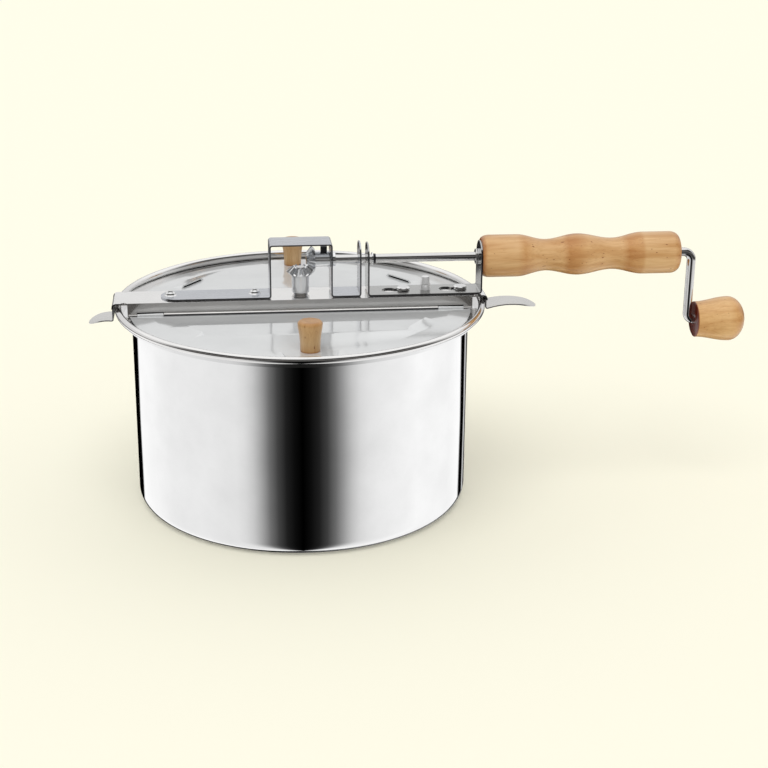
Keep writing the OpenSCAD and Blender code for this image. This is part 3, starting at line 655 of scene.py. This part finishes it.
def face_vectors(mesh: bpy.types.Mesh, kind: str) -> np.ndarray:
    """One vector of every face, such as its center or its normal.

    Args:
        mesh: the mesh.
        kind: name of the vector.

    Returns:
        Array of shape (faces, 3).
    """
    values = np.empty(3 * len(mesh.polygons))
    mesh.polygons.foreach_get(kind, values)
    return values.reshape(-1, 3)


def tidy(mesh: bpy.types.Mesh, crease: float) -> None:
    """Merges doubles, turns the faces outwards and shades smooth up to an angle.

    Args:
        mesh: the mesh to finish.
        crease: angle in degrees over which an edge stays sharp.
    """
    work = bmesh.new()
    work.from_mesh(mesh)
    bmesh.ops.remove_doubles(work, verts=work.verts, dist=TURNED_GAP)
    bmesh.ops.dissolve_degenerate(work, edges=work.edges, dist=SHORTEST_EDGE)
    bmesh.ops.recalc_face_normals(work, faces=work.faces)
    work.to_mesh(mesh)
    work.free()
    mesh.shade_smooth()
    mesh.set_sharp_from_angle(angle=math.radians(crease))


def turned(name: str, outline: np.ndarray, axis: Axis, centre: Point, segments: int = 128,
           crease: float = 35.0) -> bpy.types.Object:
    """A piece turned on a lathe: each outline point goes once round the axis.

    Row i, column j of the grid is (along, radius x cos t, radius x sin t), with along and
    radius from outline point i, and t the j-th of the even steps round.

    Args:
        name: the new object's name.
        outline: closed outline as rows (place along the axis, radius), in millimetres.
        axis: axis of the lathe.
        centre: point on the axis, in millimetres.
        segments: number of steps round.
        crease: angle in degrees over which an edge stays sharp.

    Returns:
        The new object.
    """
    angle = np.linspace(0, 2 * np.pi, segments, endpoint=False)
    along = np.repeat(outline[:, :1], segments, axis=1)
    a = outline[:, 1:] * np.cos(angle)
    b = outline[:, 1:] * np.sin(angle)
    order = (along, a, b) if axis is Axis.X else (a, b, along)
    points = (np.stack(order, axis=-1) + np.array(centre)) * MM
    return surface(name, points, round_rows=True, round_columns=True, crease=crease)


def arc(centre: Range, radius: float, start: float, end: float, n: int = 10) -> np.ndarray:
    """Points of an arc in a plane: centre + radius x (cos t, sin t), t in even steps.

    Args:
        centre: the arc's centre.
        radius: its radius.
        start: first angle, in degrees.
        end: last angle, in degrees.
        n: number of steps.

    Returns:
        Array of shape (n + 1, 2).
    """
    t = np.radians(np.linspace(start, end, n + 1))
    return np.stack([centre[0] + radius * np.cos(t), centre[1] + radius * np.sin(t)], axis=1)


def waves(places: list[Range], n: int = 14) -> np.ndarray:
    """Smooth outline through places: half a cosine wave between neighbours.

    Between a and b the radius is a + (b - a) x (1 - cos(pi k)) / 2, k the share of the way.

    Args:
        places: points (along, radius).
        n: steps between neighbours.

    Returns:
        Array of points.
    """
    k = np.linspace(0, 1, n, endpoint=False)
    s = (1 - np.cos(np.pi * k)) / 2
    runs = [np.stack([a[0] + (b[0] - a[0]) * k, a[1] + (b[1] - a[1]) * s], axis=1)
            for a, b in zip(places[:-1], places[1:])]
    return np.concatenate([*runs, np.array([places[-1]])], axis=0)


@dataclass
class Workshop:
    """Holds the frame and the finishes, and dresses single pieces."""

    frame: dict
    finishes: Finishes = field(default_factory=Finishes)

    def place(self, piece: bpy.types.Object, node: str, finish: str) -> None:
        """Gives a new piece its finish and puts it in a CAD node's place.

        Args:
            piece: the finished object.
            node: the node that it stands for.
            finish: name of the finish.
        """
        body = self.frame["nodes"][node]["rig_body"]
        piece.data.materials.clear()
        piece.data.materials.append(self.finishes.get(finish))
        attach(piece, body)
        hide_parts(node)
        LOG.info("%s replaces %s, %d faces", piece.name, node, len(piece.data.polygons))

    def refinish(self, piece: bpy.types.Object, finish: str, chosen: np.ndarray) -> None:
        """Gives some faces of a piece another finish.

        Args:
            piece: a piece that has its first finish.
            finish: name of the other finish.
            chosen: one boolean per face.
        """
        slots = np.zeros(len(piece.data.polygons), dtype=int)
        piece.data.polygons.foreach_get("material_index", slots)
        slots[chosen] = len(piece.data.materials)
        piece.data.materials.append(self.finishes.get(finish))
        piece.data.polygons.foreach_set("material_index", slots)

    def soften(self, node: str, finish: str, edge: float,
               crease: float = 30.0) -> bpy.types.Object:
        """Stands a merged copy of a node in its place, its sharp edges rounded a little.

        Args:
            node: the node to copy.
            finish: name of the finish.
            edge: width of the rounding, in millimetres; none at 0.
            crease: angle in degrees over which an edge is sharp.

        Returns:
            The new object.
        """
        mesh = self.frame["nodes"][node].data.copy()
        mesh.name = node + "_dressed"
        work = bmesh.new()
        work.from_mesh(mesh)
        bmesh.ops.remove_doubles(work, verts=work.verts, dist=COPIED_GAP)
        bmesh.ops.dissolve_limit(work, angle_limit=math.radians(FLAT_ANGLE), verts=work.verts,
                                 edges=work.edges, delimit=set())
        work.to_mesh(mesh)
        work.free()
        mesh.shade_smooth()
        mesh.set_sharp_from_angle(angle=math.radians(crease))
        piece = bpy.data.objects.new(node + "_dressed", mesh)
        bpy.context.scene.collection.objects.link(piece)
        if edge > 0:
            bevel = piece.modifiers.new("edges", "BEVEL")
            bevel.width = edge * MM
            bevel.segments = 2
            bevel.limit_method = "ANGLE"
            bevel.angle_limit = math.radians(crease)
            bevel.harden_normals = True
            bevel.use_clamp_overlap = True
        self.place(piece, node, finish)
        return piece


@dataclass
class Pot:
    """The pot: one polished shell of revolution with a rolled rim.

    Lengths are in millimetres. The bead is the rim's roll, which starts at bead_start, in
    degrees. The bend is the inside of the corner from the wall to the ledge.
    """

    wall_r: float = 106.5
    height: float = 130.3
    sheet: float = 0.8
    foot_r: float = 8.0
    bend_r: float = 1.9
    bead_d: float = 4.4
    bead_start: float = -135.0
    ledge_w: float = 6.08
    ledge_drop: float = 6.2
    foot_steps: int = 16
    bend_steps: int = 6
    bead_steps: int = 32
    round_steps: int = 384
    crease: float = 50.0

    def outline(self) -> np.ndarray:
        """Closed outline: base, foot arc, wall, ledge, riser, rim, and back inside.

        Returns:
            Rows (height, radius) in millimetres.
        """
        r, t, f, bend = self.wall_r, self.sheet, self.foot_r, self.bend_r
        riser, ledge = r + self.ledge_w, self.height - self.ledge_drop
        half = self.bead_d / 2
        bead = (riser + half, self.height - half)
        foot = (r - f, f)
        neck = (r - t + bend, ledge - bend)
        outside = [[(0.0, 0.0)], arc(foot, f, -90, 0, self.foot_steps), [(r, ledge / 2)],
                   arc(neck, bend - t, 180, 90, self.bend_steps), [(riser + t, ledge - t)]]
        rim = [arc(bead, half, self.bead_start, 180, self.bead_steps), [(riser, ledge)]]
        inside = [arc(neck, bend, 90, 180, self.bend_steps),
                  arc(foot, f - t, 0, -90, self.foot_steps), [(0.0, t)]]
        runs = [np.array(run, dtype=float) for run in outside + rim + inside]
        return np.concatenate(runs, axis=0)[:, ::-1]

    def dress(self, shop: Workshop) -> None:
        """Makes the shell, its bead less polished, and stands it in the node's place.

        Args:
            shop: the workshop.
        """
        centre = (0.0, 0.0, 0.0)
        shell = turned("pot_shell", self.outline(), Axis.Z, centre, self.round_steps, self.crease)
        shop.place(shell, "pot", "polished")
        heights = face_vectors(shell.data, "center")[:, 2]
        shop.refinish(shell, "rim", heights > (self.height - self.bead_d) * MM)


@dataclass
class WoodenParts:
    """The turned handle, the crank's knob and the two lid knobs, sized by their nodes.

    Shares of a length or a radius are of the node's own. handle_shares holds (share of the
    length, share of the way from the waist to the full radius), knob_shares (share of the
    height, share of the radius). end_bulge says how many times deeper than high the handle's
    end is rounded. Lengths are in millimetres and angles in degrees.
    """

    bore_r: float = 4.02
    waist_share: float = 0.745
    handle_shares: tuple[Range, ...] = (
        (0.04, 1), (0.176, 1), (0.325, 0), (0.486, 0.92), (0.66, 0), (0.82, 1), (0.955, 1))
    start_share: float = 0.04
    start_bulge: float = 2.0
    end_share: float = 0.045
    end_bulge: float = 1.5
    end_points: int = 10
    end_angle: float = 85.0
    face_share: float = 0.80
    face_edge: float = 0.5
    face_chamfer: float = 1.0
    swell_share: float = 0.68
    swell_steps: int = 20
    dome_angle: float = 86.0
    dome_points: int = 24
    washer_bore_r: float = 4.8
    journal_bore_r: float = 2.9
    washer_depth: float = 4.0
    knob_shares: tuple[Range, ...] = ((0.0, 0.79), (0.3, 0.81), (0.55, 0.87), (0.78, 0.97))
    knob_round_share: float = 0.12
    knob_round_start: float = 15.0
    knob_steps: int = 64
    knob_crease: float = 50.0

    def span(self, node: str, axis: Axis) -> tuple[float, float, float, Point]:
        """Measures a node.

        Args:
            node: name of the node.
            axis: axis that it was turned about.

        Returns:
            Its start and length along the axis, its radius and its middle, in millimetres.
        """
        low, high = (np.array(c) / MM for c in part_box(node))
        middle = (low + high) / 2
        k = 0 if axis is Axis.X else 2
        middle[k] = 0.0
        return low[k], high[k] - low[k], (high[1] - low[1]) / 2, tuple(middle)

    def handle_outline(self, x: float, l: float, r: float) -> np.ndarray:
        """Handle: rounded edge, two waists in cosine waves, domed end, bore.

        Both ends are quarter ellipses, so wide and high as their shares and bulges say.

        Args:
            x: where it starts along its axis.
            l: its length.
            r: its largest radius.

        Returns:
            Rows (place along the axis, radius), in millimetres.
        """
        w = self.waist_share * r
        head, tail = self.start_share * l, self.end_share * l
        t = np.radians(np.linspace(180, 180 - self.end_angle, self.end_points))
        left = np.stack([x + head * (1 + np.cos(t)),
                         r - head / self.start_bulge * (1 - np.sin(t))], axis=1)
        body = waves([(x + s * l, w + k * (r - w)) for s, k in self.handle_shares])
        t = np.radians(np.linspace(self.end_angle, 0, self.end_points))
        right = np.stack([x + l - tail * (1 - np.cos(t)),
                          r - tail / self.end_bulge * (1 - np.sin(t))], axis=1)
        return np.concatenate([[(x, self.bore_r)], left, body, right, [(x + l, self.bore_r)]])

    def crank_outline(self, x: float, l: float, r: float) -> np.ndarray:
        """Crank knob: small face, swelling to a wide shoulder, elliptic end, stepped bore.

        The end is a quarter ellipse from the shoulder down to the washer's bore.

        Args:
            x: where it starts along its axis.
            l: its length.
            r: its largest radius.

        Returns:
            Rows (place along the axis, radius), in millimetres.
        """
        f = self.face_share * r
        swell = x + self.swell_share * l
        end = math.degrees(math.asin(self.washer_bore_r / r))
        t = np.radians(np.linspace(self.dome_angle, end, self.dome_points))
        dome = np.stack([swell + (x + l - swell) * np.cos(t), r * np.sin(t)], axis=1)
        body = waves([(x + self.face_edge, f), (swell, r)], self.swell_steps)
        step = x + l - self.washer_depth
        inside = [(step, self.washer_bore_r), (step, self.journal_bore_r), (x, self.journal_bore_r)]
        return np.concatenate([[(x, f - self.face_chamfer)], body, dome, inside])

    def knob_outline(self, z: float, h: float, r: float) -> np.ndarray:
        """Lid knob: narrow foot, sides that flare, flat top with a quarter-round edge.

        Args:
            z: height of its foot.
            h: its own height.
            r: its largest radius.

        Returns:
            Rows (height, radius), in millimetres.
        """
        round_r = self.knob_round_share * h
        edge = arc((r - round_r, h - round_r), round_r, self.knob_round_start, 90)[:, ::-1]
        side = waves([(share * h, width * r) for share, width in self.knob_shares], 1)
        return np.concatenate([[(0, 0)], side, edge, [(h, 0)]]) + np.array([z, 0])

    def dress(self, shop: Workshop) -> None:
        """Turns the four wooden pieces and stands them in their nodes' places.

        Args:
            shop: the workshop.
        """
        x, l, r, middle = self.span("wood_handle", Axis.X)
        handle = turned("turned_handle", self.handle_outline(x, l, r), Axis.X, middle)
        shop.place(handle, "wood_handle", "handle_wood")
        x, l, r, middle = self.span("crank_knob", Axis.X)
        knob = turned("turned_crank_knob", self.crank_outline(x, l, r), Axis.X, middle)
        shop.place(knob, "crank_knob", "crank_wood")
        for node in ("front_knob", "rear_knob"):
            z, h, r, middle = self.span(node, Axis.Z)
            piece = turned("turned_" + node, self.knob_outline(z, h, r), Axis.Z, middle,
                           self.knob_steps, self.knob_crease)
            shop.place(piece, node, "knob_wood")


@dataclass
class SteelParts:
    """Sheet, wire, gear and fastener nodes, each a merged copy with softened edges.

    flat_share is the least part of a face's normal along an axis at which it counts as square
    to that axis; roll_share is the same for the lit top of the rolls, which stand out beyond
    flange_y. hub_share is the part of the lower gear's height under its teeth. The pin ends
    pin_gap above the bridge. finishes holds (finish, width of the edges' rounding) by node.
    Lengths are in millimetres.
    """

    flat_share: float = 0.8
    roll_share: float = 0.5
    flange_y: float = 13.1
    plunger_travel: float = 1.2
    pin_gap: float = 0.1
    hub_share: float = 0.6
    finishes: dict[str, tuple[str, float]] = field(default_factory=lambda: {
        "bridge": ("bridge", 0.2), "front_lid": ("satin", 0.2), "rear_lid": ("satin", 0.2),
        "front_hinge_wire": ("shaft", 0.1), "rear_hinge_wire": ("shaft", 0.1),
        "left_latch": ("spring", 0.2), "right_latch": ("spring", 0.2),
        "gear_frame": ("strip", 0.2), "handle_bracket": ("bracket", 0.2),
        "frame_screws": ("fastener", 0.15), "frame_nuts": ("fastener", 0.15),
        "keyhole_studs": ("fastener", 0.2), "locking_plunger": ("chrome", 0.2),
        "plunger_sleeve": ("chrome", 0.1), "plunger_spring": ("spring", 0.0),
        "handle_tube": ("fastener", 0.1), "rod_collar": ("fastener", 0.1),
        "retaining_ring": ("black", 0.1), "push_nut": ("spring", 0.1),
        "crank_rod": ("shaft", 0.0), "crank_knob_washer": ("fastener", 0.1),
        "front_knob_screw": ("fastener", 0.1), "rear_knob_screw": ("fastener", 0.1),
        "pinion_gear": ("gear", 0.06), "pinion_shaft": ("shaft", 0.1),
        "pinion_set_screw": ("black", 0.2), "shaft_washer": ("fastener", 0.15),
        "stirrer_gear": ("gear", 0.06), "stirrer_set_screw": ("black", 0.05),
        "stirrer_shaft": ("shaft", 0.1), "stirrer_bush": ("shaft", 0.2),
        "shaft_clip": ("black", 0.1), "stirrer_hub": ("fastener", 0.3),
        "stirrer_wires": ("spring", 0.0)})

    def dress(self, shop: Workshop) -> None:
        """Stands a softened copy in each node's place; sides, rolls and cut edges get painted
        shade.

        Args:
            shop: the workshop.
        """
        pieces = {node: shop.soften(node, finish, edge)
                  for node, (finish, edge) in self.finishes.items()}
        bridge = pieces["bridge"]
        upward = face_vectors(bridge.data, "normal")[:, 2]
        on_roll = np.abs(face_vectors(bridge.data, "center")[:, 1]) > self.flange_y * MM
        # Painted shade: the bridge's faces that don't face up get the darker copy of its steel
        shop.refinish(bridge, "side", upward < self.flat_share)
        # Painted shade: the rolls' faces under their lit tops are near black
        shop.refinish(bridge, "edge", on_roll & (upward < self.roll_share))
        # Painted shade: the strips' cut edges, their faces along y, are near black
        for strip in (pieces["gear_frame"], pieces["handle_bracket"]):
            sideways = np.abs(face_vectors(strip.data, "normal")[:, 1])
            shop.refinish(strip, "edge", sideways > self.flat_share)
        gear = pieces["stirrer_gear"]
        heights = face_vectors(gear.data, "center")[:, 2]
        low, high = (corner[2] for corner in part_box("stirrer_gear"))
        shop.refinish(gear, "hub", heights < low + self.hub_share * (high - low))
        self.follow_plunger(pieces["plunger_spring"], pieces["locking_plunger"])

    def follow_plunger(self, spring: bpy.types.Object, plunger: bpy.types.Object) -> None:
        """Gives the spring its own mesh, and keeps the pin clear of the bridge.

        Args:
            spring: the dressed coil, which gets its own mesh.
            plunger: the dressed plunger, whose lowest points go up by pin_gap.
        """
        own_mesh(spring)
        points = np.empty(3 * len(plunger.data.vertices))
        plunger.data.vertices.foreach_get("co", points)
        heights = points[2::3]
        heights[heights < heights.min() + self.pin_gap / 2 * MM] += self.pin_gap * MM
        plunger.data.vertices.foreach_set("co", points)
        plunger.data.update()


@dataclass
class Studio:
    """Floor, surroundings, lamp and the camera at the photograph's place.

    Right, up and back are the camera's own axes; camera_at, sensor and lens are in
    millimetres, clip and the floor's corners in metres. The greys hold (place, grey): for
    left and right the place is the share of a full turn away from the bay at the camera, which
    stands bay_turn degrees off; for ahead and behind it is the height, from 0 straight down to
    1 straight up. The ranges are the heights and depths of a direction between which one part
    of the room passes into the next.
    """

    ground: Colour = (1.0, 0.9734, 0.8148)
    ground_roughness: float = 0.9
    floor_near: Point = (-3.0, -2.0, 0.0)
    floor_far: Point = (3.0, 4.0, 0.0)
    camera_at: Point = (-55.26, -961.87, 425.01)
    lens: float = 74.07
    sensor: float = 36.0
    clip: Range = (0.01, 20.0)
    right: Point = (0.99394, -0.10963, 0.00836)
    up: Point = (0.02993, 0.34295, 0.93888)
    back: Point = (-0.1058, -0.93293, 0.34415)
    even_light: float = 0.735
    gloss_light: float = 1.1
    lamp_from: Point = (-0.12, -0.42, 0.90)
    lamp_strength: float = 1.0
    lamp_spread: float = 50.0
    bay_turn: float = 3.0
    storey_range: Range = (-0.28, -0.15)
    behind_range: Range = (-0.25, 0.25)
    left_greys: tuple[Range, ...] = (
        (0.016, 0.004), (0.031, 0.0135), (0.047, 0.056), (0.063, 0.162), (0.078, 0.37),
        (0.095, 0.60), (0.111, 0.735), (0.128, 0.80), (0.22, 0.84), (0.285, 0.87), (0.34, 0.95),
        (0.412, 0.98), (0.418, 0.0))
    right_greys: tuple[Range, ...] = (
        (0.0, 0.0), (0.016, 0.004), (0.031, 0.0135), (0.047, 0.05), (0.063, 0.15), (0.078, 0.32),
        (0.095, 0.55), (0.111, 0.71), (0.128, 0.79), (0.145, 0.83), (0.24, 0.97), (0.34, 0.93),
        (0.398, 1.0), (0.404, 0.0), (0.431, 0.0), (0.437, 0.6), (0.444, 0.6), (0.450, 0.06))
    ahead_greys: tuple[Range, ...] = (
        (0.42, 0.05), (0.56, 0.06), (0.62, 0.18), (0.70, 0.18), (0.74, 0.03), (0.88, 0.03),
        (0.93, 0.9), (1.0, 1.0))
    behind_greys: tuple[Range, ...] = (
        (0.42, 0.10), (0.475, 0.15), (0.51, 0.68), (0.70, 0.74), (0.78, 0.95), (0.9, 1.0))
    warmth: Colour = (1.0, 0.965, 0.93)
    warm_below: float = 0.5

    def camera(self) -> None:
        """Puts the camera where the photograph was taken from."""
        data = bpy.data.cameras.new("camera")
        data.lens = self.lens
        data.sensor_width = self.sensor
        data.clip_start, data.clip_end = self.clip
        camera = bpy.data.objects.new("camera", data)
        bpy.context.scene.collection.objects.link(camera)
        turn = Matrix((self.right, self.up, self.back)).transposed()
        camera.matrix_world = Matrix.Translation(Vector(self.camera_at) * MM) @ turn.to_4x4()
        bpy.context.scene.camera = camera

    def floor(self) -> None:
        """Lays a wide pale floor that reflections don't see."""
        (left, front, z), (right, back, _) = self.floor_near, self.floor_far
        near = [(left, front, z), (right, front, z)]
        far = [(left, back, z), (right, back, z)]
        floor = surface("floor", np.array([near, far]))
        graph = Graph("pale_floor")
        graph.shader.inputs["Base Color"].default_value = (*self.ground, 1.0)
        graph.shader.inputs["Roughness"].default_value = self.ground_roughness
        graph.shader.inputs["Specular IOR Level"].default_value = 0.0
        floor.data.materials.append(graph.material)
        floor.visible_glossy = False

    def surroundings(self) -> None:
        """Sets the world: even light for matt surfaces, the ground's colour for the camera.

        For gloss it is a room in two storeys. Below the horizon, as walls mirror it, both
        sides are bright, with a dark bay at the camera and narrow dark panels behind the
        object. Above it, as lids and rolls mirror it, greys change with the height, ahead and
        behind.
        """
        sky = Sky("studio")
        x, y, z = sky.direction()
        turn = sky.joined("ADD", sky.joined("ARCTAN2", x, sky.joined("MULTIPLY", y, -1.0)),
                          math.radians(self.bay_turn))
        place = sky.joined("ADD", sky.joined("DIVIDE", turn, 2 * math.pi), 0.5)
        bays = ([(0.5 - away, grey) for away, grey in reversed(self.left_greys)]
                + [(0.5 + away, grey) for away, grey in self.right_greys])
        around = sky.ramp(place, [(at, (grey,) * 3) for at, grey in bays])
        height = sky.joined("MULTIPLY", sky.joined("ADD", z, 1.0), 0.5)
        ahead = sky.ramp(height, self.shades(self.ahead_greys))
        behind = sky.ramp(height, self.shades(self.behind_greys))
        upper = sky.mixed(sky.share(y, *self.behind_range), ahead, behind)
        room = sky.mixed(sky.share(z, *self.storey_range), around, upper)
        matt = sky.background(WHITE, self.even_light)
        gloss = sky.background(room, self.gloss_light)
        seen = sky.background(self.ground, 1.0)
        sky.finish(sky.by_ray("Is Camera Ray", sky.by_ray("Is Glossy Ray", matt, gloss), seen))

    def shades(self, greys: tuple[Range, ...]) -> list[tuple[float, Colour]]:
        """Greys as colours, those under warm_below a little warm.

        Args:
            greys: places with their greys.

        Returns:
            The same places with colours.
        """
        return [(at, tuple(grey * c for c in (self.warmth if grey < self.warm_below else WHITE)))
                for at, grey in greys]

    def lamp(self, name: str, towards: Point, strength: float, spread: float) -> None:
        """Sets a broad distant lamp, even over the whole floor; the steel doesn't mirror it.

        Args:
            name: the lamp's name.
            towards: direction in which the lamp stands.
            strength: its strength.
            spread: its width, in degrees.
        """
        data = bpy.data.lights.new(name, "SUN")
        data.energy = strength
        data.angle = math.radians(spread)
        lamp = bpy.data.objects.new(name, data)
        bpy.context.scene.collection.objects.link(lamp)
        lamp.rotation_euler = Vector(towards).to_track_quat("Z", "Y").to_euler()
        lamp.visible_glossy = False

    def build(self) -> None:
        """Sets the camera, floor, surroundings and lamp."""
        bpy.context.scene.view_settings.view_transform = "Standard"
        self.camera()
        self.floor()
        self.surroundings()
        self.lamp("key", self.lamp_from, self.lamp_strength, self.lamp_spread)


def main() -> None:
    """Loads the frame, sets the studio and dresses every sub-assembly in order."""
    logging.basicConfig(level=logging.INFO, format="%(name)s: %(message)s")
    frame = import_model()
    shop = Workshop(frame)
    Studio().build()
    for group in (Pot(), WoodenParts(), SteelParts()):
        group.dress(shop)
        LOG.info("%s is dressed", type(group).__name__)


if __name__ == "__main__":
    main()
